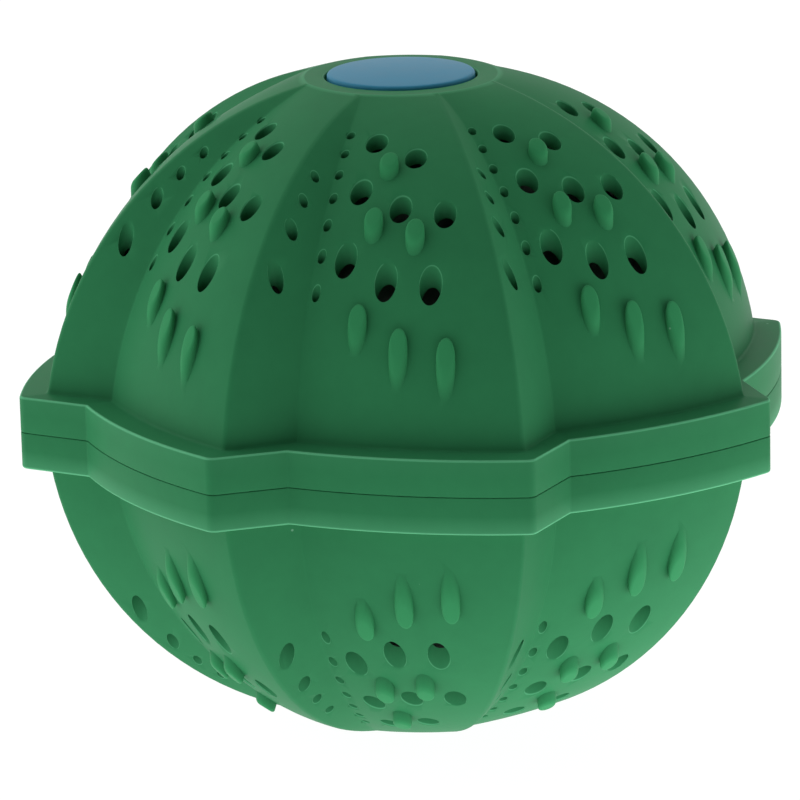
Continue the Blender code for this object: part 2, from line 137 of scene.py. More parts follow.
# Painted highlights on edges: shares of the pale highlight colour on the ring's, the flange's and the holes'
# roundings
RING_HIGHLIGHT = 0.35
FLANGE_HIGHLIGHT = 1.0
# The lower half's wider fade is a painted glow, as if lit from below through the thin edge
FLANGE_HIGHLIGHT_FADES = {"upper": 0.08, "lower": 0.3}        # just beside the flange's edge
HOLE_HIGHLIGHT = 0.65
RING_BAND = (0.01 * MM, 0.2 * MM)                   # from the ring's face down to the end of its painted highlight
FLANGE_BAND = (0.02 * MM, 0.3 * MM, 0.4 * MM)       # the same from the flange's top, with the fade's end
MOUTH_BAND = (0.2, 0.4)                             # the painted highlight on a mouth, as shares of its flare

# Holes, posts and pinholes: places beside a valley, as (across, along)
ROW_PITCH = 5.9 * MM
PINHOLE_PITCH = 2.55 * MM


def column(across, first, count, pitch=ROW_PITCH, lean=0.0):
    """Places of a column that runs beside the valley, leaning a little away from it."""
    return [(across + lean * row, first + pitch * row) for row in range(count)]


HOLES = (column(3.85 * MM, 20.3 * MM, 3, 6.0 * MM) + column(9.3 * MM, 21.9 * MM, 3)
         + column(14.75 * MM, 27.4 * MM, 2))
LOW_POSTS = column(6.6 * MM, 23.93 * MM, 2, 6.07 * MM) + column(11.95 * MM, 30.5 * MM, 1)
LONG_POSTS = [(6.65 * MM, 36.78 * MM), (12.05 * MM, 37.84 * MM), (17.8 * MM, 37.42 * MM)]
PINHOLES = column(0.13 * MM, 19.15 * MM, 7, PINHOLE_PITCH, 0.105 * MM)
RAISED_FULL = 0.3 * MM              # height above the shell from which a post has the full painted highlight
POST_TOP_TURN = 0.95                # slant of a post's top, as a share of the shell's slant
POST_LEAN = 0.6                     # lean of a post's uphill side: 0 is upright, 1 is square to the shell
HOLE_FLARE = 0.11 * MM              # rounding of a hole's mouth
PINHOLE_FLARE = 0.06 * MM
HOLE_DEPTH = 8.0 * MM               # from the surface to the lower end of a hole's tool
PINHOLE_DEPTH = 3.4 * MM
STEP_HOLE_DEPTH = 6.0 * MM
HOLE_CLEAR = 4.0 * MM               # from the surface to the upper end of a hole's tool
STEP_HOLE_OFFSET = 1.95 * MM        # from the ridge's radius to the holes in the step face
STEP_HOLES = ((26.0 * MM, 1.05 * MM), (29.0 * MM, 1.1 * MM), (32.1 * MM, 1.5 * MM), (36.2 * MM, 1.9 * MM))

# Slants of a tool from each height up, as shares of the shell's slant
TOOL_BOTTOM = -1.0                  # below every tool
HOLE_SLANTS = ((-1.0 * MM, 1.0), (TOOL_BOTTOM, 0.0))
POST_SLANTS = ((0.0, POST_TOP_TURN), (TOOL_BOTTOM, 1.0))

RAY_START = 0.1                     # height over the ball, from which its surface is looked for

# Dents in a bead: how close they lie and how much they add to the mean depth, as shares
DENT_MEAN = 0.7
BROAD_DENTS = (1.3, 0.75)
FINE_DENTS = (4.5, 0.3)


def length_setting(name, description, default):
    """A length that a user would change."""
    return FloatProperty(name=name, description=description, default=default, unit="LENGTH")


def colour_setting(name, description, default):
    """A colour that a user would change."""
    return FloatVectorProperty(name=name, description=description, subtype="COLOR", size=3, default=default)


def light_setting(name, description, default):
    """Strengths of the tent's patches of light at one height, from the right towards the back."""
    return FloatVectorProperty(name=name, description=description, size=len(default), default=default)


class ShellSizes(bpy.types.PropertyGroup):
    """Sizes and finish of the soft half shells."""

    ridge_radius: length_setting("Ridge radius", "From the axis to a ridge of the dome", 46.9 * MM)
    valley_radius: length_setting("Valley radius", "From the axis to a valley of the dome", 40.65 * MM)
    ring_radius: length_setting("Ring radius", "Outside of the flat ring round the cap", 12.2 * MM)
    ring_height: length_setting("Ring height", "From the ball's centre to the flat ring", 40.9 * MM)
    wall: length_setting("Wall", "Thickness of the shell", 1.7 * MM)
    flange_reach: length_setting("Flange reach", "How far the flange stands out", 3.1 * MM)
    flange_half: length_setting("Flange half", "Height of each half of the flange", 4.6 * MM)
    hole_diameter: length_setting("Hole", "Diameter of a round hole", 2.67 * MM)
    pinhole_diameter: length_setting("Pinhole", "Diameter of a pinhole beside a valley", 1.06 * MM)
    post_diameter: length_setting("Post", "Diameter of a post", 2.3 * MM)
    low_post: length_setting("Low post", "Height of a low post, square to the shell", 1.18 * MM)
    long_post: length_setting("Long post", "Height of a long post, square to the shell", 0.82 * MM)
    rubber: colour_setting("Rubber", "Colour of the soft shells", (0.0243, 0.170, 0.0675))
    rubber_light: colour_setting("Rubber, light", "Lighter clouds in the rubber", (0.0275, 0.192, 0.0755))
    # Painted highlight: the lighter colour on the raised posts stands in for light that they catch
    highlit: colour_setting("Highlit posts", "Colour of the rubbed tops of the posts", (0.032, 0.232, 0.089))
    # Painted highlight: this pale colour on the roundings of the ring, the flange and the holes' mouths, and
    # its fade beside the flange, stands in for light caught by those edges
    edges: colour_setting("Edges", "Colour of the thin, translucent edges", (0.10, 0.40, 0.20))
    dust: colour_setting("Dust", "Colour of the dust specks", (0.13, 0.33, 0.20))


class CapSizes(bpy.types.PropertyGroup):
    """Sizes and finish of the caps."""

    radius: length_setting("Radius", "Radius of a cap", 9.2 * MM)
    seat_depth: length_setting("Seat depth", "Depth of the seat below the ring", 1.1 * MM)
    rim_proud: length_setting("Rim", "Height of the upper cap's rim above the ring", 0.35 * MM)
    dome: length_setting("Dome", "Height of the upper cap's crown above its rim", 0.45 * MM)
    edge: length_setting("Edge", "Rounding of a cap's edge", 0.7 * MM)
    stem_radius: length_setting("Stem radius", "Radius of a cap's stem", 4.0 * MM)
    stem_length: length_setting("Stem length", "Length of a cap's stem", 8.0 * MM)
    plastic: colour_setting("Plastic", "Colour of the caps", (0.030, 0.20, 0.32))


class CageSizes(bpy.types.PropertyGroup):
    """Sizes and finish of the cage."""

    radius: length_setting("Radius", "Outside radius of the cage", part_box("upper_cage")[1].x)
    wall: length_setting("Wall", "Thickness of the cage", 2.0 * MM)
    lip: length_setting("Lip", "Height of the lip that centres the halves", 1.5 * MM)
    lip_wall: length_setting("Lip wall", "Thickness of the lip", 0.8 * MM)
    slots: IntProperty(name="Slots", description="Slots round each half", default=8)
    slot_foot: length_setting("Slot foot", "Height of a slot's lower end", 6.0 * MM)
    slot_head: length_setting("Slot head", "Height of a slot's upper end", 29.0 * MM)
    slot_foot_width: length_setting("Slot foot width", "Width at a slot's lower end", 7.0 * MM)
    slot_head_width: length_setting("Slot head width", "Width at a slot's upper end", 4.5 * MM)
    # Dark plastic: its darkness is partly painted shade, set so that the inside seen through the shell's
    # holes is as dark as the shade in there
    plastic: colour_setting("Plastic", "Colour of the cage", (0.070, 0.105, 0.080))


class InsideSizes(bpy.types.PropertyGroup):
    """Sizes and finishes of the divider, the magnets and the beads."""

    fin: length_setting("Fin", "Thickness of the divider's fins", 1.6 * MM)
    tube_wall: length_setting("Tube wall", "Wall of the middle tube", 1.6 * MM)
    magnet_radius: length_setting("Magnet radius", "Radius of a bar magnet", 4.5 * MM)
    magnet_length: length_setting("Magnet length", "Length of a bar magnet", 20.0 * MM)
    bead_dent: length_setting("Bead dent", "Depth of the dents in a bead", 0.12 * MM)
    natural: colour_setting("Divider", "Colour of the divider", (0.62, 0.64, 0.62))
    ferrite: colour_setting("Magnets", "Colour of the magnets", (0.045, 0.045, 0.05))
    white: colour_setting("White beads", "Colour of the white beads", (0.78, 0.76, 0.71))
    grey: colour_setting("Grey beads", "Colour of the grey beads", (0.30, 0.31, 0.32))
    clay: colour_setting("Clay beads", "Colour of the clay beads", (0.46, 0.20, 0.11))
    sand: colour_setting("Sand beads", "Colour of the sand beads", (0.62, 0.47, 0.28))


class StageSettings(bpy.types.PropertyGroup):
    """The floor, the light and the camera."""

    floor_size: length_setting("Floor", "Width of the floor", 8.0)
    floor_glow: FloatProperty(name="Floor glow", description="Even light that the pale floor gives back",
                              default=1.19)
    near_glow: light_setting("Near floor", "More light from the floor close by, every 90 degrees",
                             (0.77, 0.0, 0.26, 0.50))
    far_glow: light_setting("Far floor", "More light from the floor further out, every 45 degrees",
                            (1.20, 0.20, 0.02, 0.32, 0.98, 0.0, 0.0, 0.51))
    wall_glow: light_setting("Walls", "Light of the tent's walls, every 45 degrees",
                             (0.28, 0.49, 0.41, 1.06, 0.97, 0.0, 0.0, 0.0))
    roof_glow: light_setting("Roof", "Light of the tent's roof, every 90 degrees", (0.0, 1.30, 0.66, 0.06))
    camera_distance: length_setting("Camera distance", "From the camera to the ball", 0.66277)
    camera_height: FloatProperty(name="Camera elevation", description="Angle of the view above the floor",
                                 default=15.30 * DEGREE, subtype="ANGLE")
    camera_roll: FloatProperty(name="Camera roll", description="Turn of the picture", subtype="ANGLE",
                               default=-1.32 * DEGREE)
    lens: FloatProperty(name="Lens", description="Focal length on a 36 mm wide sensor, in millimetres",
                        default=237.0)


# Meshes

def mesh_data(name, mesh, smooth=False):
    """Mesh data of a working mesh, closed and with its normals out.

    If asked, it is smooth apart from its sharp edges, and all of one material."""
    bmesh.ops.remove_doubles(mesh, verts=mesh.verts, dist=MERGE)
    bmesh.ops.recalc_face_normals(mesh, faces=mesh.faces)
    if smooth:
        for face in mesh.faces:
            face.smooth = True
            face.material_index = 0
        for edge in mesh.edges:
            edge.smooth = edge.is_manifold and edge.calc_face_angle() < SHARP_ANGLE
    data = bpy.data.meshes.new(name)
    mesh.to_mesh(data)
    mesh.free()
    return data


def add_piece(name, mesh, material, body, nodes):
    """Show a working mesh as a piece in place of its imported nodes, on their body."""
    data = mesh_data(name, mesh, smooth=True)
    data.materials.append(material)
    piece = bpy.data.objects.new(name, data)
    bpy.context.scene.collection.objects.link(piece)
    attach(piece, body)
    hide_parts(*nodes)


def place_mesh(mesh, lower=False):
    """Move a mesh that is modelled about the ball's centre to its place above the floor.

    A lower piece is modelled as an upper one, and is turned over first."""
    if lower:
        bmesh.ops.scale(mesh, vec=(1, 1, -1), verts=mesh.verts)
        bmesh.ops.reverse_faces(mesh, faces=mesh.faces)
    height = bpy.context.scene.ball_shell.ring_height
    bmesh.ops.translate(mesh, vec=(0, 0, height), verts=mesh.verts)


def combine(base, tools, solver):
    """The mesh that Boolean operations leave. Each tool is (mesh data, operation)."""
    scene = bpy.context.scene.collection
    target = bpy.data.objects.new("combined", base)
    scene.objects.link(target)
    helpers = []
    for data, operation in tools:
        helper = bpy.data.objects.new("tool", data)
        scene.objects.link(helper)
        boolean = target.modifiers.new("combine", "BOOLEAN")
        boolean.operation = operation
        boolean.solver = solver
        boolean.object = helper
        helpers.append(helper)
    shown = target.evaluated_get(bpy.context.evaluated_depsgraph_get())
    result = bmesh.new()
    result.from_mesh(shown.to_mesh())
    for item in helpers + [target]:
        data = item.data
        bpy.data.objects.remove(item)
        bpy.data.meshes.remove(data)
    return result


def spin_section(section, steps):
    """A mesh turned from a half section that starts and ends on the axis."""
    mesh = bmesh.new()
    verts = [mesh.verts.new((radius, 0.0, height)) for radius, height in section]
    edges = [mesh.edges.new(pair) for pair in zip(verts, verts[1:])]
    bmesh.ops.spin(mesh, geom=verts + edges, cent=(0, 0, 0), axis=(0, 0, 1), angle=2 * math.pi,
                   steps=steps, use_merge=True)
    bmesh.ops.remove_doubles(mesh, verts=mesh.verts, dist=MERGE)
    return mesh


def push_out(mesh, faces, way):
    """Give flat faces a thickness along a way."""
    pushed = bmesh.ops.extrude_face_region(mesh, geom=faces, use_keep_orig=True)["geom"]
    moved = [item for item in pushed if isinstance(item, bmesh.types.BMVert)]
    bmesh.ops.translate(mesh, vec=way, verts=moved)


def turned_copies(mesh, turn, count):
    """Repeat a mesh round the axis, a turn apart."""
    bmesh.ops.spin(mesh, geom=mesh.verts[:] + mesh.edges[:] + mesh.faces[:], cent=(0, 0, 0), axis=(0, 0, 1),
                   angle=turn * (count - 1), steps=count - 1, use_duplicate=True, use_merge=False)


def soften_section(section, radii, steps=3):
    """Round the corners of a half section. A corner whose radius is 0 stays sharp."""
    points = []
    for index, point in enumerate(section):
        radius = radii.get(index, 0.0)
        corner = Vector(point)
        if not radius:
            points.append(corner)
            continue
        before = Vector(section[index - 1])
        after = Vector(section[index + 1])
        points += corner_arc(before, corner, after, radius, [step / steps for step in range(steps + 1)])
    return [(point.x, point.y) for point in points]


def corner_arc(before, corner, after, radius, shares):
    """Points at some shares of the arc that rounds a corner."""
    back = before - corner
    ahead = after - corner
    turn = math.pi - back.angle(ahead)
    reach = min(radius * math.tan(turn / 2), back.length * 0.49, ahead.length * 0.49)
    start = corner + back.normalized() * reach
    end = corner + ahead.normalized() * reach
    pull = math.cos(turn / 2)
    points = []
    for share in shares:
        weights = ((1 - share) ** 2, 2 * pull * share * (1 - share), share ** 2)
        mixed = start * weights[0] + corner * weights[1] + end * weights[2]
        points.append(mixed / sum(weights))
    return points


# Soft shells

def plan_corner(radius, turn):
    """The point seen from above at a radius and a turn round the axis."""
    return Vector((radius * math.cos(turn), radius * math.sin(turn)))


def station(ridge_r, valley_r, height, bow=CIRCLE_BOW, ridge_round=0.0, valley_round=0.0, turned_back=0.0):
    """One level of the shell's skin: its radii, height, bow, corner rounding and inner turn."""
    return Vector((ridge_r, valley_r, height, bow, ridge_round, valley_round, turned_back))


def ring_station(radius, height):
    """A level at which the skin is round."""
    return station(radius, radius, height)


def arc_radius(foot_r, arc_r, top_height, height):
    """Radius, at a height, of the arc that bulges from (foot_r, 0) up to the ring at top_height."""
    chord = Vector((bpy.context.scene.ball_shell.ring_radius - foot_r, top_height))
    inward = Vector((-chord.y, chord.x)).normalized()
    depth = math.sqrt(arc_r ** 2 - (chord.length / 2) ** 2)
    centre = Vector((foot_r, 0)) + chord / 2 + inward * depth
    return centre.x + math.sqrt(max(0.0, arc_r ** 2 - (height - centre.y) ** 2))


def dome_station(height, inset):
    """The dome's level at a height: its outer face, or its inner face when inset by the wall."""
    sizes = bpy.context.scene.ball_shell
    top_height = sizes.ring_height - inset
    share = height / top_height
    ridge_r = arc_radius(sizes.ridge_radius - inset, RIDGE_ARC_R - inset, top_height, height)
    valley_r = arc_radius(sizes.valley_radius - inset, VALLEY_ARC_R - inset, top_height, height)
    bow = SHELL_BOW + (CIRCLE_BOW - SHELL_BOW) * share ** 3
    if inset:
        return station(ridge_r, valley_r, height, bow, INNER_RIDGE_ROUND, INNER_VALLEY_ROUND,
                       INNER_TURN * (1 - share))
    return station(ridge_r, valley_r, height, bow, RIDGE_ROUND, VALLEY_ROUND)


def dome_stations(low, inset, rows):
    """Levels of the dome from just under its ring down to a low height."""
    top_height = bpy.context.scene.ball_shell.ring_height - inset
    start = math.asin(low / top_height)
    angles = [math.pi / 2 + (start - math.pi / 2) * row / rows for row in range(1, rows + 1)]
    return [dome_station(top_height * math.sin(angle), inset) for angle in angles]


def eased(stations, index, reach, steps=3):
    """Round the level at an index into its neighbours, over a reach to either side."""
    before, corner, after = stations[index - 1:index + 2]
    start = corner.lerp(before, min(0.49, reach / level_distance(corner, before)))
    end = corner.lerp(after, min(0.49, reach / level_distance(corner, after)))
    arc = []
    for step in range(steps + 1):
        share = step / steps
        arc.append(start.lerp(corner, share).lerp(corner.lerp(end, share), share))
    return stations[:index] + arc + stations[index + 1:]


def level_distance(one, other):
    """Distance between two levels along a ridge."""
    return math.hypot(one[0] - other[0], one[2] - other[2])


def flange_station(height):
    """The flange's level at a height."""
    sizes = bpy.context.scene.ball_shell
    reach = sizes.flange_reach
    return station(sizes.ridge_radius + reach, sizes.valley_radius + reach, height, FLANGE_BOW,
                   POINT_ROUND, NOTCH_ROUND)


def parting_stations(lower):
    """Levels across the face where the halves meet, from outside in, with a rib or a groove."""
    sizes = bpy.context.scene.ball_shell
    outer = flange_station(SEAM)
    inner = dome_station(0.0, sizes.wall)
    inner[2] = SEAM
    thickness = level_distance(outer, inner)
    wall = GROOVE_WALL
    depth = GAP / 2 + GROOVE_DEPTH
    if not lower:
        wall += GAP / thickness
        depth = GAP * 1.5 - GROOVE_DEPTH
    near = outer.lerp(inner, wall)
    far = outer.lerp(inner, 1 - wall)
    near_deep = near.copy()
    far_deep = far.copy()
    near_deep[2] = depth
    far_deep[2] = depth
    return [outer, near, near_deep, far_deep, far, inner]


def skin_stations(lower):
    """Every level of a half shell in order: stem hole, cap seat, ring, dome, flange and inner face."""
    sizes = bpy.context.scene.ball_shell
    caps = bpy.context.scene.ball_caps
    seat_r = caps.radius + GAP
    stem_r = caps.stem_radius + GAP
    seat_height = sizes.ring_height - caps.seat_depth
    roof = sizes.ring_height - sizes.wall
    levels = [
        ring_station(stem_r, seat_height),
        ring_station(seat_r, seat_height),
        ring_station(seat_r, sizes.ring_height),
        ring_station((seat_r + sizes.ring_radius) / 2, sizes.ring_height),
        ring_station(sizes.ring_radius, sizes.ring_height),
    ]
    levels += dome_stations(sizes.flange_half, 0.0, DOME_ROWS)
    foot = len(levels) - 1
    levels += [flange_station(sizes.flange_half), flange_station(sizes.flange_half / 2)]
    levels += parting_stations(lower)
    for index, reach in ((foot + 3, SEAM_ROUND["lower" if lower else "upper"]), (foot + 1, FLANGE_ROUND),
                         (foot, FOOT_ROUND), (4, RING_ROUND), (2, SEAT_ROUND)):
        levels = eased(levels, index, reach)
    levels += reversed(dome_stations(sizes.flange_half, sizes.wall, INNER_ROWS))
    levels += [
        ring_station(sizes.ring_radius, roof),
        ring_station(stem_r, roof),
        ring_station(stem_r, seat_height),
    ]
    return levels


def step_shift(radius):
    """Turn by which each edge of the step face moves to its middle, so that it fades out at the ring."""
    ring_r = bpy.context.scene.ball_shell.ring_radius
    return STEP_TURN / 2 * (1 - STEP_LEFT) * min(1.0, ring_r / radius) ** STEP_FADE


def panel_line(level):
    """Points seen from above along one panel at a level, from one ridge's rounding to the next."""
    ridge_r, valley_r, _, bow, ridge_round, valley_round, turned_back = level
    shift = step_shift(valley_r)
    start = FIRST_RIDGE - turned_back + shift
    step_turn = STEP_TURN - 2 * shift
    ridge = plan_corner(ridge_r, start)
    valley = plan_corner(valley_r, start + step_turn)
    next_ridge = plan_corner(ridge_r, start + PANEL_TURN)
    next_valley = plan_corner(valley_r, start + PANEL_TURN + step_turn)
    across = next_ridge - valley
    outward = Vector((across.y, -across.x)) * 4 * bow
    rounding = max(ridge_round, MERGE)
    face_end = next_ridge - (across - outward)
    arc = corner_arc(face_end, next_ridge, next_valley, rounding, [step / 8 for step in range(9)])
    back = Matrix.Rotation(-PANEL_TURN, 2)
    line = [back @ point for point in arc[4:]]
    bend = corner_arc(ridge, valley, valley + across + outward, max(valley_round, MERGE),
                      [step / 4 for step in range(5)])
    line += [line[-1].lerp(bend[0], step / 4) for step in range(1, 4)]
    line += bend
    first = (bend[-1] - valley).length / across.length
    last = 1 - (arc[0] - next_ridge).length / across.length
    for step in range(1, FACE_STEPS):
        share = first + (last - first) * step / FACE_STEPS
        line.append(valley + across * share + outward * share * (1 - share))
    line += arc[:5]
    if valley_r == ridge_r:
        line = [point.normalized() * ridge_r for point in line]
    return line


def panel_skin(lower):
    """The skin of one panel of a half shell, open where the next panel joins it."""
    levels = skin_stations(lower)
    lines = [panel_line(level) for level in levels]
    columns = len(lines[0])
    skin = bmesh.new()
    bmesh.ops.create_grid(skin, x_segments=columns - 1, y_segments=len(levels) - 1, size=1.0)
    for vert in skin.verts:
        place = round((vert.co.x + 1) / 2 * (columns - 1))
        row = round((vert.co.y + 1) / 2 * (len(levels) - 1))
        point = lines[row][place]
        vert.co = (point.x, point.y, levels[row][2])
    bmesh.ops.remove_doubles(skin, verts=skin.verts, dist=MERGE / 10)
    bmesh.ops.recalc_face_normals(skin, faces=skin.faces)
    return skin


def surface_at(tree, place, outside=True):
    """The skin's outer or inner surface over a place: its height and its upward normal."""
    if outside:
        point, normal, _, _ = tree.ray_cast(Vector((place.x, place.y, RAY_START)), Vector((0, 0, -1)))
    else:
        low = bpy.context.scene.ball_shell.flange_half
        point, normal, _, _ = tree.ray_cast(Vector((place.x, place.y, low)), Vector((0, 0, 1)))
    if normal.z < 0:
        normal = -normal
    return point.z, normal


def upright_tool(mesh, tree, place, section, segments, slants, rise=0.0):
    """Turn a section upright over a place. Heights in it are from the surface at its middle.

    Each point slants downhill by the first slant whose lowest height it reaches, a share of the
    surface's own slant. The slants are pairs of a height and a share, the highest first. With a rise,
    which is the section's height, heights are square to the surface, and the uphill side leans."""
    height, normal = surface_at(tree, place)
    slant = math.acos(normal.z)
    downhill = Vector((normal.x, normal.y)).normalized()
    radius = max(reach for reach, _ in section)
    tool = spin_section(section, segments)
    for vert in tool.verts:
        share = next(share for lowest, share in slants if vert.co.z >= lowest)
        if rise:
            uphill = min(0.0, downhill.dot(vert.co.xy))
            above = vert.co.z if vert.co.z > 0 else vert.co.z * normal.z
            lean = POST_LEAN * math.sin(slant) * (rise - above) / radius - (1.0 - normal.z) / 2
            vert.co = Vector((*(vert.co.xy + downhill * uphill * lean), above / normal.z))
        vert.co.z -= downhill.dot(vert.co.xy) * math.tan(slant * share)
        vert.co += Vector((place.x, place.y, height))
    data = mesh_data("tool", tool)
    mesh.from_mesh(data)
    bpy.data.meshes.remove(data)


def wall_depth(tree, place):
    """Height of the material under a place."""
    top, _ = surface_at(tree, place)
    bottom, _ = surface_at(tree, place, False)
    return top - bottom


def panel_places(places):
    """Places seen from above in the first panel, from (across, along) beside its valley."""
    turn = FIRST_RIDGE + STEP_TURN
    along = plan_corner(1.0, turn)
    across = plan_corner(1.0, turn + math.pi / 2)
    return [along * far + across * side for side, far in places]


def flared_hole(radius, depth, flare):
    """Half section of a hole's tool, with a slightly rounded mouth."""
    return [
        (0.0, -depth),
        (radius, -depth),
        (radius, -2.2 * flare),
        (radius + 0.3 * flare, -flare),
        (radius + flare, 0.0),
        (radius + 2.2 * flare, flare),
        (radius + 2.2 * flare, HOLE_CLEAR),
        (0.0, HOLE_CLEAR),
    ]


def step_places():
    """Places seen from above of the holes in the first step face, with their diameters."""
    along = plan_corner(1.0, FIRST_RIDGE)
    across = plan_corner(1.0, FIRST_RIDGE + math.pi / 2)
    return [(along * far + across * STEP_HOLE_OFFSET, diameter) for far, diameter in STEP_HOLES]


def panel_holes():
    """Every hole of the first panel: its place seen from above, radius, flare and depth."""
    sizes = bpy.context.scene.ball_shell
    hole = (sizes.hole_diameter / 2, HOLE_FLARE, HOLE_DEPTH)
    pinhole = (sizes.pinhole_diameter / 2, PINHOLE_FLARE, PINHOLE_DEPTH)
    holes = [(place, *hole) for place in panel_places(HOLES)]
    holes += [(place, *pinhole) for place in panel_places(PINHOLES)]
    holes += [(place, diameter / 2, PINHOLE_FLARE, STEP_HOLE_DEPTH) for place, diameter in step_places()]
    return holes


def hole_tools(tree):
    """Upright tools for every hole of a panel."""
    tools = bmesh.new()
    for place, radius, flare, depth in panel_holes():
        section = flared_hole(radius, depth, flare)
        segments = HOLE_STEPS if flare == HOLE_FLARE else PINHOLE_STEPS
        upright_tool(tools, tree, place, section, segments, HOLE_SLANTS)
    return tools


def post_tools(tree):
    """Posts of a panel: upright downhill, leaning uphill, with softened tops."""
    sizes = bpy.context.scene.ball_shell
    radius = sizes.post_diameter / 2
    tools = bmesh.new()
    for places, rise in ((LOW_POSTS, sizes.low_post), (LONG_POSTS, sizes.long_post)):
        for place in panel_places(places):
            root = wall_depth(tree, place) / 2
            section = [(0.0, -root), (radius, -root), (radius, rise), (0.0, rise)]
            section = soften_section(section, {2: POST_ROUND}, 5)
            upright_tool(tools, tree, place, section, POST_STEPS, POST_SLANTS, rise)
    return tools


def hole_axes():
    """A tree of the axes of all the holes, and the radius and flare of each hole of a panel."""
    holes = panel_holes()
    tree = KDTree(PANELS * len(holes))
    for index in range(PANELS * len(holes)):
        turn = Matrix.Rotation(PANEL_TURN * (index // len(holes)), 2)
        tree.insert((turn @ holes[index % len(holes)][0]).to_3d(), index)
    tree.balance()
    return tree, [(radius, flare) for _, radius, flare, _ in holes]


def highlight_share(place, rise, axes, mouths, fade):
    """Share of the painted highlight at a point, which rises above or lies below the bare skin.

    The roundings of the ring, the flange and the holes' mouths have it, as does a fading band just below the
    flange's edge."""
    sizes = bpy.context.scene.ball_shell
    below_ring = sizes.ring_height - place.z
    below_flange = sizes.flange_half - place.z
    reach = place.xy.length
    if reach < sizes.ring_radius + 0.2 * MM and RING_BAND[0] < below_ring < RING_BAND[1]:
        return RING_HIGHLIGHT
    on_flange = reach > sizes.valley_radius + sizes.flange_reach / 2
    if on_flange and FLANGE_BAND[0] < below_flange < FLANGE_BAND[2]:
        return FLANGE_HIGHLIGHT if below_flange < FLANGE_BAND[1] else fade
    _, index, distance = axes.find(place.xy.to_3d())
    radius, flare = mouths[index % len(mouths)]
    in_mouth = rise < -MERGE and flare * MOUTH_BAND[0] < distance - radius < flare * MOUTH_BAND[1]
    return HOLE_HIGHLIGHT if in_mouth else 0.0


def half_shell(lower):
    """The mesh of a half shell, modelled as one panel that is repeated round the axis."""
    skin = panel_skin(lower)
    tree = BVHTree.FromBMesh(skin)
    parts = {"skin": skin, "posts": post_tools(tree), "holes": hole_tools(tree)}
    turned = {}
    for name, part in parts.items():
        turned_copies(part, PANEL_TURN, PANELS)
        if name == "skin":
            bare = BVHTree.FromBMesh(part)
        turned[name] = mesh_data(name, part)
    whole = combine(turned["skin"], [(turned["posts"], "UNION"), (turned["holes"], "DIFFERENCE")], "MANIFOLD")
    # Masks of the painted highlights: on the posts by their rise over the skin, and on the edges' roundings
    raised = whole.verts.layers.float.new("raised")
    edge = whole.verts.layers.float.new("edge")
    axes, mouths = hole_axes()
    for vert in whole.verts:
        point, normal, _, _ = bare.find_nearest(vert.co)
        rise = (vert.co - point).dot(normal)
        vert[raised] = min(1.0, max(0.0, rise / RAISED_FULL))
        vert[edge] = highlight_share(vert.co, rise, axes, mouths, FLANGE_HIGHLIGHT_FADES["lower" if lower else "upper"])
    place_mesh(whole, lower)
    return whole


class BALL_OT_half_shells(bpy.types.Operator):
    """Model both soft half shells"""

    bl_idname = "laundry_ball.half_shells"
    bl_label = "Half shells"

    def execute(self, context):
        rubber = rubber_material(context.scene.ball_shell)
        for side, lower, body in (("upper", False, "shell_top"), ("lower", True, "lower_half")):
            shell = half_shell(lower)
            add_piece(side + "_soft_shell", shell, rubber, body, [side + "_shell"])
        return {"FINISHED"}


# Caps

def cap_heights():
    """Heights of a cap's parts, from the ball's centre: its foot, its stem's end and the socket's floor."""
    caps = bpy.context.scene.ball_caps
    foot = bpy.context.scene.ball_shell.ring_height - caps.seat_depth + GAP
    stem_end = foot - caps.stem_length
    return foot, stem_end, stem_end - GAP


def cap_section(lower):
    """Half section of a cap: crown, rounded edge, underside and stem. The lower cap is flat and sunk."""
    caps = bpy.context.scene.ball_caps
    foot, stem_end, _ = cap_heights()
    ring = bpy.context.scene.ball_shell.ring_height
    top = ring - GAP if lower else ring + caps.rim_proud
    dome = 0.0 if lower else caps.dome
    shares = [step / CROWN_STEPS for step in range(CROWN_STEPS + 1)]
    section = [(caps.radius * share, top + dome * (1 - share ** 2)) for share in shares]
    rim = CROWN_STEPS
    section += [(caps.radius, foot), (caps.stem_radius, foot), (caps.stem_radius, stem_end), (0.0, stem_end)]
    return soften_section(section, {rim: caps.edge, rim + 1: CAP_FOOT_ROUND, rim + 3: STEM_ROUND}, 5)


class BALL_OT_caps(bpy.types.Operator):
    """Model the cap at each pole"""

    bl_idname = "laundry_ball.caps"
    bl_label = "Caps"

    def execute(self, context):
        plastic = plastic_material("cap_plastic", context.scene.ball_caps.plastic, shine=0.06)
        for side, lower, body in (("upper", False, "shell_top"), ("lower", True, "lower_half")):
            mesh = spin_section(cap_section(lower), CAP_STEPS)
            place_mesh(mesh, lower)
            add_piece(side + "_button", mesh, plastic, body, [side + "_cap"])
        return {"FINISHED"}


# Cage

def inner_end_angle():
    """Angle above the rim at which the cage's inner face meets the socket's wall."""
    cage = bpy.context.scene.ball_cage
    return math.acos(socket_radius() / (cage.radius - cage.wall))


def socket_radius():
    """Outside radius of the socket that a cap's stem enters."""
    return bpy.context.scene.ball_caps.stem_radius + GAP + bpy.context.scene.ball_cage.wall


def arc_points(radius, first, last, steps):
    """Points of a half section along an arc about the ball's centre."""
    angles = [first + (last - first) * step / steps for step in range(steps + 1)]
    return [(radius * math.cos(angle), radius * math.sin(angle)) for angle in angles]


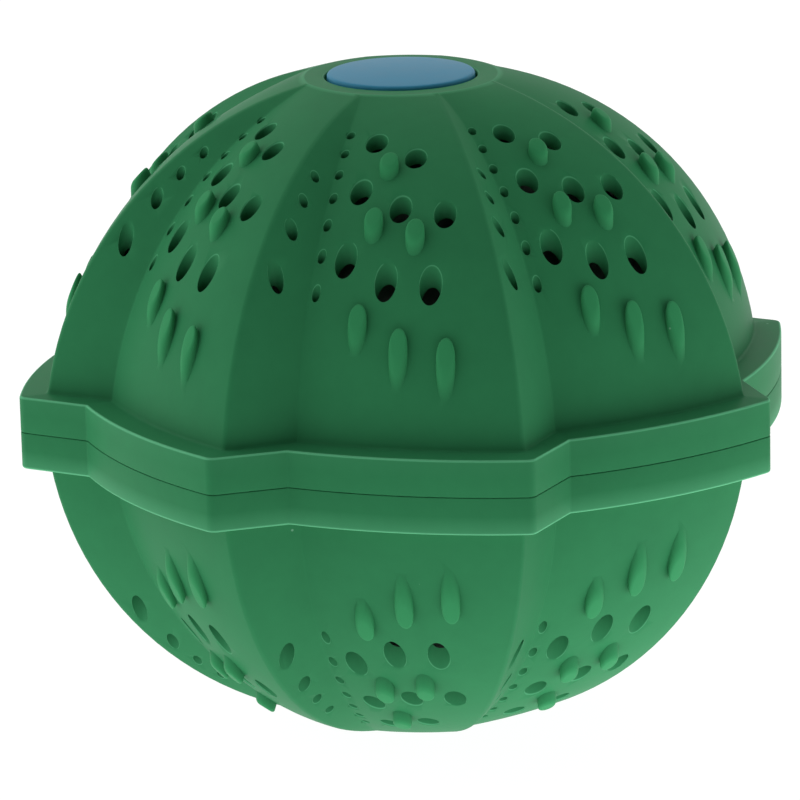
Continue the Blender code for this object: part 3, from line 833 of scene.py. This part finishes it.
def cage_section(lower):
    """Half section of a cage half: socket, outer arc, rim with its lip or rebate, and inner arc."""
    cage = bpy.context.scene.ball_cage
    _, _, socket_floor = cap_heights()
    stem_r = bpy.context.scene.ball_caps.stem_radius + GAP
    inner_r = cage.radius - cage.wall
    face = GAP / 2
    split_r = inner_r + cage.lip_wall
    step = face - cage.lip
    if not lower:
        split_r += GAP
        step = face + cage.lip
    outer = arc_points(cage.radius, math.acos(stem_r / cage.radius), face / cage.radius, ARC_STEPS)
    inner = arc_points(inner_r, 0.0, inner_end_angle(), ARC_STEPS)[1:]
    inner = [(radius, height) for radius, height in inner if height > step + 0.3 * MM]
    section = [(0.0, socket_floor), (stem_r, socket_floor)] + outer
    section += [(split_r, face), (split_r, step), (inner_r, step)] + inner
    return section + [(socket_radius(), socket_floor - cage.wall), (0.0, socket_floor - cage.wall)]


def slot_tools():
    """Tapered, round-cornered tools for the slots round a cage half."""
    cage = bpy.context.scene.ball_cage
    tools = bmesh.new()
    reach = cage.radius / 2
    corners = ((-cage.slot_foot_width, cage.slot_foot), (cage.slot_foot_width, cage.slot_foot),
               (cage.slot_head_width, cage.slot_head), (-cage.slot_head_width, cage.slot_head))
    verts = [tools.verts.new((reach, width / 2, height)) for width, height in corners]
    tools.faces.new(verts)
    bmesh.ops.bevel(tools, geom=tools.verts[:], offset=SLOT_ROUND, segments=5, profile=0.5,
                    affect="VERTICES", material=-1)
    push_out(tools, tools.faces[:], (cage.radius, 0, 0))
    turn = 2 * math.pi / cage.slots
    bmesh.ops.rotate(tools, cent=(0, 0, 0), matrix=Matrix.Rotation(turn / 2, 3, "Z"), verts=tools.verts)
    turned_copies(tools, turn, cage.slots)
    return tools


class BALL_OT_cages(bpy.types.Operator):
    """Model the two halves of the slotted cage"""

    bl_idname = "laundry_ball.cages"
    bl_label = "Cage halves"

    def execute(self, context):
        plastic = plastic_material("cage_plastic", context.scene.ball_cage.plastic, shine=0.15)
        for side, lower, body in (("upper", False, "cage_top"), ("lower", True, "lower_half")):
            cage = mesh_data("cage", spin_section(cage_section(lower), CAP_STEPS))
            whole = combine(cage, [(mesh_data("slots", slot_tools()), "DIFFERENCE")], "MANIFOLD")
            place_mesh(whole, lower)
            add_piece(side + "_basket", whole, plastic, body, [side + "_cage"])
        return {"FINISHED"}


# Divider and magnets

def fin_data(name, turn):
    """An upright fin with softened edges that follows the inside of the cage from pole to pole."""
    cage = bpy.context.scene.ball_cage
    half = bpy.context.scene.ball_inside.fin / 2
    arc = arc_points(cage.radius - cage.wall - GAP, 0.0, inner_end_angle(), FIN_STEPS)
    outline = arc + [(-x, z) for x, z in reversed(arc)]
    outline += [(-x, -z) for x, z in arc[1:]] + [(x, -z) for x, z in reversed(arc[1:])]
    fin = bmesh.new()
    face = fin.faces.new([fin.verts.new((x, -half, z)) for x, z in outline])
    push_out(fin, [face], (0, 2 * half, 0))
    rims = [edge for edge in fin.edges if abs(edge.verts[0].co.y - edge.verts[1].co.y) < half]
    bmesh.ops.bevel(fin, geom=rims, offset=FIN_ROUND, segments=2, profile=0.5, affect="EDGES", material=-1)
    bmesh.ops.rotate(fin, cent=(0, 0, 0), matrix=Matrix.Rotation(turn, 3, "Z"), verts=fin.verts)
    return mesh_data(name, fin)


class BALL_OT_divider(bpy.types.Operator):
    """Model the cross-shaped divider with its middle tube"""

    bl_idname = "laundry_ball.divider"
    bl_label = "Divider"

    def execute(self, context):
        inside = context.scene.ball_inside
        cage = context.scene.ball_cage
        _, _, socket_floor = cap_heights()
        tube_end = socket_floor - cage.wall - GAP
        bore_r = inside.magnet_radius + GAP
        tube_r = bore_r + inside.tube_wall
        room_r = max(tube_r, socket_radius()) + GAP
        floor = tube_end - inside.magnet_length - 2 * GAP
        tube = soften_section([(0.0, tube_end), (tube_r, tube_end), (tube_r, -tube_end), (0.0, -tube_end)],
                              {1: TUBE_ROUND, 2: TUBE_ROUND})
        tools = [(fin_data("cross", math.pi / 2), "UNION"),
                 (mesh_data("tube", spin_section(tube, TUBE_STEPS)), "UNION")]
        for sign in (1, -1):
            pocket = [(0.0, floor), (bore_r, floor), (bore_r, tube_end), (room_r, tube_end),
                      (room_r, cage.radius), (0.0, cage.radius)]
            pocket = [(radius, sign * height) for radius, height in pocket]
            tools.append((mesh_data("pocket", spin_section(pocket, TUBE_STEPS)), "DIFFERENCE"))
        whole = combine(fin_data("fin", 0.0), tools, "EXACT")
        place_mesh(whole)
        natural = natural_material(inside.natural)
        add_piece("cross_divider", whole, natural, "lower_half", ["divider"])
        return {"FINISHED"}


class BALL_OT_magnets(bpy.types.Operator):
    """Model the two bar magnets"""

    bl_idname = "laundry_ball.magnets"
    bl_label = "Magnets"

    def execute(self, context):
        inside = context.scene.ball_inside
        ferrite = ferrite_material(inside.ferrite)
        radius = inside.magnet_radius
        for side in ("lower", "upper"):
            low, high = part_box(side + "_magnet")
            section = [(0.0, low.z), (radius, low.z), (radius, high.z), (0.0, high.z)]
            section = soften_section(section, {1: MAGNET_ROUND, 2: MAGNET_ROUND}, 2)
            bar = spin_section(section, TUBE_STEPS)
            add_piece(side + "_bar", bar, ferrite, "lower_half", [side + "_magnet"])
        return {"FINISHED"}


# Beads

def bead_mesh(centre, radius, seed, dent):
    """A fired bead: a ball with shallow dents that stay inside its size."""
    mesh = bmesh.new()
    bmesh.ops.create_icosphere(mesh, subdivisions=4, radius=radius)
    for vert in mesh.verts:
        away = vert.co.normalized()
        broad = noise.noise(away * BROAD_DENTS[0] + seed)
        fine = noise.noise(away * FINE_DENTS[0] + seed)
        vert.co = away * (radius - dent * (DENT_MEAN + BROAD_DENTS[1] * broad + FINE_DENTS[1] * fine))
    bmesh.ops.translate(mesh, vec=centre, verts=mesh.verts)
    return mesh


class BALL_OT_beads(bpy.types.Operator):
    """Model the ceramic beads of the four chambers"""

    bl_idname = "laundry_ball.beads"
    bl_label = "Beads"

    def execute(self, context):
        inside = context.scene.ball_inside
        bodies = frame["record"]["behaviour"]["bodies"]
        for kind in ("white", "grey", "clay", "sand"):
            fired = ceramic_material(kind, getattr(inside, kind))
            for number, node in enumerate(bodies[kind + "_beads"], 1):
                low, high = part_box(node)
                centre = (low + high) / 2
                radius = (high.z - low.z) / 2
                seed = Vector((number * 3.7, len(kind) * 5.1, radius / MM))
                bead = bead_mesh(centre, radius, seed, inside.bead_dent)
                add_piece(f"{kind}_pebble_{number}", bead, fired, kind + "_beads", [node])
        return {"FINISHED"}


# Materials

def add_node(tree, kind, inputs=None, **settings):
    """A shader node with its settings. Each input, by name or number, gets a value or a socket."""
    node = tree.nodes.new("ShaderNode" + kind)
    for name, value in settings.items():
        setattr(node, name, value)
    for key, value in (inputs or {}).items():
        if isinstance(value, bpy.types.NodeSocket):
            tree.links.new(value, node.inputs[key])
        else:
            node.inputs[key].default_value = value
    return node


def math_node(tree, operation, *values, clamp=False):
    """The result of a Math node. Each value is a number or a socket."""
    return add_node(tree, "Math", dict(enumerate(values)), operation=operation, use_clamp=clamp).outputs[0]


def vector_node(tree, operation, *values):
    """A Vector Math node. Each value is a vector or a socket."""
    return add_node(tree, "VectorMath", dict(enumerate(values)), operation=operation)


def noise_node(tree, vector, scale, detail=2.0, roughness=0.5):
    """A Noise Texture's value between 0 and 1."""
    inputs = {"Vector": vector, "Scale": scale, "Detail": detail, "Roughness": roughness}
    return add_node(tree, "TexNoise", inputs).outputs[0]


def mixed_colours(tree, mask, first, second):
    """A colour that goes over from the first into the second where a mask is 1."""
    return add_node(tree, "Mix", {0: mask, 6: first, 7: second}, data_type="RGBA").outputs[2]


def fill_clouds(group, given):
    """Slow changes of colour over a moulded surface."""
    large = noise_node(group, given["Vector"], scale=38.0, detail=3.0, roughness=0.55)
    small = noise_node(group, given["Vector"], scale=420.0, detail=2.0, roughness=0.6)
    mixed = math_node(group, "MULTIPLY_ADD", small, 0.35, math_node(group, "MULTIPLY", large, 0.65))
    mask = math_node(group, "MULTIPLY_ADD", math_node(group, "SUBTRACT", mixed, 0.5), 3.0, 0.5, clamp=True)
    return {"Color": mixed_colours(group, mask, given["Dark"], given["Light"]), "Mask": mask}


def fill_specks(group, given):
    """Sparse round specks, such as dust, bubbles or grog: 1 on a speck and 0 beside it."""
    cells = add_node(group, "TexVoronoi", {"Vector": given["Vector"], "Scale": given["Scale"]}).outputs
    near = math_node(group, "DIVIDE", cells["Distance"], given["Size"])
    round_mask = math_node(group, "SUBTRACT", 1.0, near, clamp=True)
    sharp_mask = math_node(group, "MULTIPLY", round_mask, 3.0, clamp=True)
    chance = add_node(group, "SeparateColor", {0: cells["Color"]}).outputs[0]
    picked = math_node(group, "LESS_THAN", chance, given["Share"])
    return {"Mask": math_node(group, "MULTIPLY", sharp_mask, picked)}


def fill_grain(group, given):
    """Height of a fine moulded or fired grain."""
    fine = noise_node(group, given["Vector"], given["Scale"], detail=3.0, roughness=0.6)
    wide = math_node(group, "MULTIPLY", noise_node(group, given["Vector"], scale=260.0), 1.4)
    return {"Height": math_node(group, "ADD", fine, wide)}


def fill_tent(group, given):
    """Light of the tent from a direction: a soft round patch on each lit wall, roof and floor side."""
    settings = bpy.context.scene.ball_stage
    glow = 0.0
    for height, strengths in ((60 * DEGREE, settings.roof_glow), (25 * DEGREE, settings.wall_glow),
                              (-20 * DEGREE, settings.far_glow), (-55 * DEGREE, settings.near_glow)):
        for number, strength in enumerate(strengths):
            if strength:
                towards = plan_corner(math.cos(height), 2 * math.pi * number / len(strengths))
                facing = vector_node(group, "DOT_PRODUCT", given["Vector"], (*towards, math.sin(height)))
                ahead = math_node(group, "MAXIMUM", facing.outputs["Value"], 0.0)
                patch = math_node(group, "POWER", ahead, PATCH_POWER)
                glow = math_node(group, "MULTIPLY_ADD", patch, strength, glow)
    return {"Glow": glow}


# Each node group: the function that fills it, and the kinds of its inputs and outputs
NODE_GROUPS = {
    "clouds": (fill_clouds, {"Vector": "Vector", "Dark": "Color", "Light": "Color"},
               {"Color": "Color", "Mask": "Float"}),
    "specks": (fill_specks, {"Vector": "Vector", "Scale": "Float", "Size": "Float", "Share": "Float"},
               {"Mask": "Float"}),
    "grain": (fill_grain, {"Vector": "Vector", "Scale": "Float"}, {"Height": "Float"}),
    "tent": (fill_tent, {"Vector": "Vector"}, {"Glow": "Float"}),
}


def placed_group(tree, name, inputs):
    """The outputs of a node group placed in a tree. The group itself is built once."""
    if name not in bpy.data.node_groups:
        fill, *sides = NODE_GROUPS[name]
        group = bpy.data.node_groups.new(name, "ShaderNodeTree")
        for side, kinds in zip(("INPUT", "OUTPUT"), sides):
            for title, kind in kinds.items():
                group.interface.new_socket(name=title, in_out=side, socket_type="NodeSocket" + kind)
        given = group.nodes.new("NodeGroupInput").outputs
        result = group.nodes.new("NodeGroupOutput").inputs
        for title, socket in fill(group, given).items():
            group.links.new(socket, result[title])
    return add_node(tree, "Group", inputs, node_tree=bpy.data.node_groups[name]).outputs


class Finish:
    """A material with its Principled shader, and the colour that its calls build up."""

    def __init__(self, name, dark, light):
        self.material = bpy.data.materials.new(name)
        self.material.use_nodes = True
        self.tree = self.material.node_tree
        self.shader = self.tree.nodes["Principled BSDF"]
        self.place = add_node(self.tree, "TexCoord").outputs["Object"]
        drift = self.group("clouds", Dark=(*dark, 1.0), Light=(*light, 1.0))
        self.colour = drift["Color"]
        self.clouds = drift["Mask"]

    def group(self, name, **values):
        """The outputs of a node group that follows the piece, with a value for each other input."""
        return placed_group(self.tree, name, {"Vector": self.place, **values})

    def blend(self, mask, colour):
        """Let the colour go over into another where a mask is 1."""
        self.colour = mixed_colours(self.tree, mask, self.colour, (*colour, 1.0))

    def painted_highlight(self, name, colour):
        """Paint a highlight: let the colour go over into another where an attribute of the mesh is 1."""
        self.blend(add_node(self.tree, "Attribute", attribute_name=name).outputs["Fac"], colour)

    def specks(self, colour, scale, size, share):
        """Put specks of another colour on it, and return their mask."""
        mask = self.group("specks", Scale=scale, Size=size, Share=share)["Mask"]
        self.blend(mask, colour)
        return mask

    def set(self, name, value):
        """Set a constant on the shader itself."""
        self.shader.inputs[name].default_value = value

    def finished(self, mask, low, high, grain_scale, grain_depth):
        """The material, with a roughness that goes from low to high with a mask, and with a fine grain."""
        height = self.group("grain", Scale=grain_scale)["Height"]
        grain = add_node(self.tree, "Bump", {"Distance": grain_depth, "Height": height})
        fed = {"Base Color": self.colour, "Normal": grain.outputs["Normal"],
               "Roughness": math_node(self.tree, "MULTIPLY_ADD", mask, high - low, low)}
        for name, socket in fed.items():
            self.tree.links.new(socket, self.shader.inputs[name])
        return self.material


def rubber_material(sizes):
    """Satin moulded rubber with faint clouds, painted highlights on the posts and on thin edges, and a little
    dust.
    """
    finish = Finish("green_rubber", sizes.rubber, sizes.rubber_light)
    # Painted highlights on the raised posts and on the roundings of the ring, the flange and the holes
    finish.painted_highlight("raised", sizes.highlit)
    finish.painted_highlight("edge", sizes.edges)
    finish.specks(sizes.dust, scale=130.0, size=0.024, share=0.18)
    finish.set("Specular IOR Level", 0.03)
    return finish.finished(finish.clouds, low=0.43, high=0.49, grain_scale=2600.0, grain_depth=0.006 * MM)


def plastic_material(name, colour, shine):
    """Satin coloured plastic with a fine spark-eroded grain."""
    finish = Finish(name, colour, [min(1.0, part * 1.12 + 0.004) for part in colour])
    finish.set("Specular IOR Level", shine)
    return finish.finished(finish.clouds, low=0.36, high=0.44, grain_scale=5200.0, grain_depth=0.003 * MM)


def natural_material(natural):
    """Milky unpigmented plastic with faint warm clouds."""
    warm = [part * shade for part, shade in zip(natural, (1.04, 1.0, 0.93))]
    finish = Finish("natural_plastic", natural, warm)
    finish.set("Subsurface Weight", 0.15)
    finish.set("Subsurface Radius", (0.9 * MM, 0.8 * MM, 0.7 * MM))
    finish.set("Subsurface Scale", 1.0)
    return finish.finished(finish.clouds, low=0.38, high=0.5, grain_scale=3800.0, grain_depth=0.003 * MM)


def ferrite_material(ferrite):
    """Dark ground ferrite with a dull gloss."""
    finish = Finish("ferrite", ferrite, [part * 1.7 for part in ferrite])
    spots = finish.specks((0.16, 0.16, 0.17), scale=1400.0, size=0.2, share=0.1)
    return finish.finished(spots, low=0.38, high=0.6, grain_scale=2200.0, grain_depth=0.01 * MM)


def ceramic_material(kind, colour):
    """Unglazed fired clay with grains of grog in it."""
    finish = Finish(kind + "_ceramic", colour, [min(0.95, part * 1.2 + 0.02) for part in colour])
    grog = finish.specks([part * 0.55 for part in colour], scale=900.0, size=0.22, share=0.18)
    return finish.finished(grog, low=0.78, high=0.6, grain_scale=1800.0, grain_depth=0.03 * MM)


# Stage

def emptied_tree(holder):
    """The node tree of a material or world, without its first nodes."""
    holder.use_nodes = True
    holder.node_tree.nodes.clear()
    return holder.node_tree


def tent_glow(tree, direction):
    """The tent's light from a direction, which is a socket."""
    return placed_group(tree, "tent", {"Vector": direction})["Glow"]


def mixed_shaders(tree, share, first, second):
    """The output of a Mix Shader node."""
    return add_node(tree, "MixShader", {0: share, 1: first, 2: second}).outputs[0]


def shown_or_lit(tree, lit, shown):
    """The shader that lights the ball, but the shown one for camera, glossy and transmission rays."""
    path = add_node(tree, "LightPath").outputs
    mirrored = math_node(tree, "MAXIMUM", path["Is Glossy Ray"], path["Is Transmission Ray"])
    return mixed_shaders(tree, math_node(tree, "MAXIMUM", mirrored, path["Is Camera Ray"]), lit, shown)


def tent_world():
    """A pale tent round the ball, seen as plain white."""
    world = bpy.data.worlds.new("tent")
    tree = emptied_tree(world)
    direction = add_node(tree, "TexCoord").outputs["Generated"]
    walls = add_node(tree, "Background", {"Color": tent_glow(tree, direction)}).outputs[0]
    plain = add_node(tree, "Background", {"Color": (1, 1, 1, 1)}).outputs[0]
    add_node(tree, "OutputWorld", {0: shown_or_lit(tree, walls, plain)})
    bpy.context.scene.world = world


def floor_material(centre, even_glow):
    """White floor that lights the ball from below and is seen as white with a faint shadow."""
    material = bpy.data.materials.new("floor")
    tree = emptied_tree(material)
    paint = add_node(tree, "BsdfDiffuse", {"Color": (0.9, 0.9, 0.9, 1)}).outputs[0]
    white = add_node(tree, "Emission", {"Strength": FLOOR_LIFT}).outputs[0]
    place = add_node(tree, "TexCoord").outputs["Object"]
    away = vector_node(tree, "SUBTRACT", place, (0, 0, centre))
    direction = vector_node(tree, "NORMALIZE", away.outputs["Vector"])
    light = math_node(tree, "ADD", tent_glow(tree, direction.outputs["Vector"]), even_glow)
    glow = add_node(tree, "Emission", {"Color": light}).outputs[0]
    shown = mixed_shaders(tree, FLOOR_WHITE, paint, white)
    add_node(tree, "OutputMaterial", {0: shown_or_lit(tree, glow, shown)})
    return material


class BALL_OT_stage(bpy.types.Operator):
    """Make the floor, the light tent and the camera"""

    bl_idname = "laundry_ball.stage"
    bl_label = "Stage"

    def execute(self, context):
        settings = context.scene.ball_stage
        centre = context.scene.ball_shell.ring_height
        mesh = bmesh.new()
        bmesh.ops.create_grid(mesh, x_segments=1, y_segments=1, size=settings.floor_size / 2)
        data = bpy.data.meshes.new("floor")
        mesh.to_mesh(data)
        mesh.free()
        data.materials.append(floor_material(centre, settings.floor_glow))
        floor = bpy.data.objects.new("floor", data)
        context.scene.collection.objects.link(floor)
        tent_world()

        lens = bpy.data.cameras.new("camera")
        lens.lens = settings.lens
        lens.sensor_width = 36.0
        lens.shift_x, lens.shift_y = CAMERA_SHIFT
        lens.clip_start = 0.01
        camera = bpy.data.objects.new("camera", lens)
        far = settings.camera_distance
        camera.matrix_world = (
            Matrix.Translation((0, -far * math.cos(settings.camera_height),
                                centre + far * math.sin(settings.camera_height)))
            @ Matrix.Rotation(math.pi / 2 - settings.camera_height, 4, "X")
            @ Matrix.Rotation(settings.camera_roll, 4, "Z"))
        context.scene.collection.objects.link(camera)
        context.scene.camera = camera
        context.scene.view_settings.view_transform = "Standard"
        return {"FINISHED"}


OPERATORS = (BALL_OT_half_shells, BALL_OT_caps, BALL_OT_cages, BALL_OT_divider, BALL_OT_magnets,
             BALL_OT_beads, BALL_OT_stage)
GROUPS = (("ball_shell", ShellSizes), ("ball_caps", CapSizes), ("ball_cage", CageSizes),
          ("ball_inside", InsideSizes), ("ball_stage", StageSettings))


class BALL_PT_panel(bpy.types.Panel):
    """Lists the ball's operators"""

    bl_idname = "BALL_PT_panel"
    bl_label = "Laundry Ball"
    bl_space_type = "VIEW_3D"
    bl_region_type = "UI"
    bl_category = "Laundry Ball"

    def draw(self, context):
        for operator in OPERATORS:
            self.layout.operator(operator.bl_idname)


def register():
    for name, group in GROUPS:
        bpy.utils.register_class(group)
        setattr(bpy.types.Scene, name, PointerProperty(type=group))
    for item in OPERATORS + (BALL_PT_panel,):
        bpy.utils.register_class(item)


def unregister():
    for item in reversed(OPERATORS + (BALL_PT_panel,)):
        bpy.utils.unregister_class(item)
    for name, group in reversed(GROUPS):
        delattr(bpy.types.Scene, name)
        bpy.utils.unregister_class(group)


def main():
    """Make every piece and the stage."""
    register()
    bpy.ops.laundry_ball.half_shells()
    bpy.ops.laundry_ball.caps()
    bpy.ops.laundry_ball.cages()
    bpy.ops.laundry_ball.divider()
    bpy.ops.laundry_ball.magnets()
    bpy.ops.laundry_ball.beads()
    bpy.ops.laundry_ball.stage()


if __name__ == "__main__":
    main()
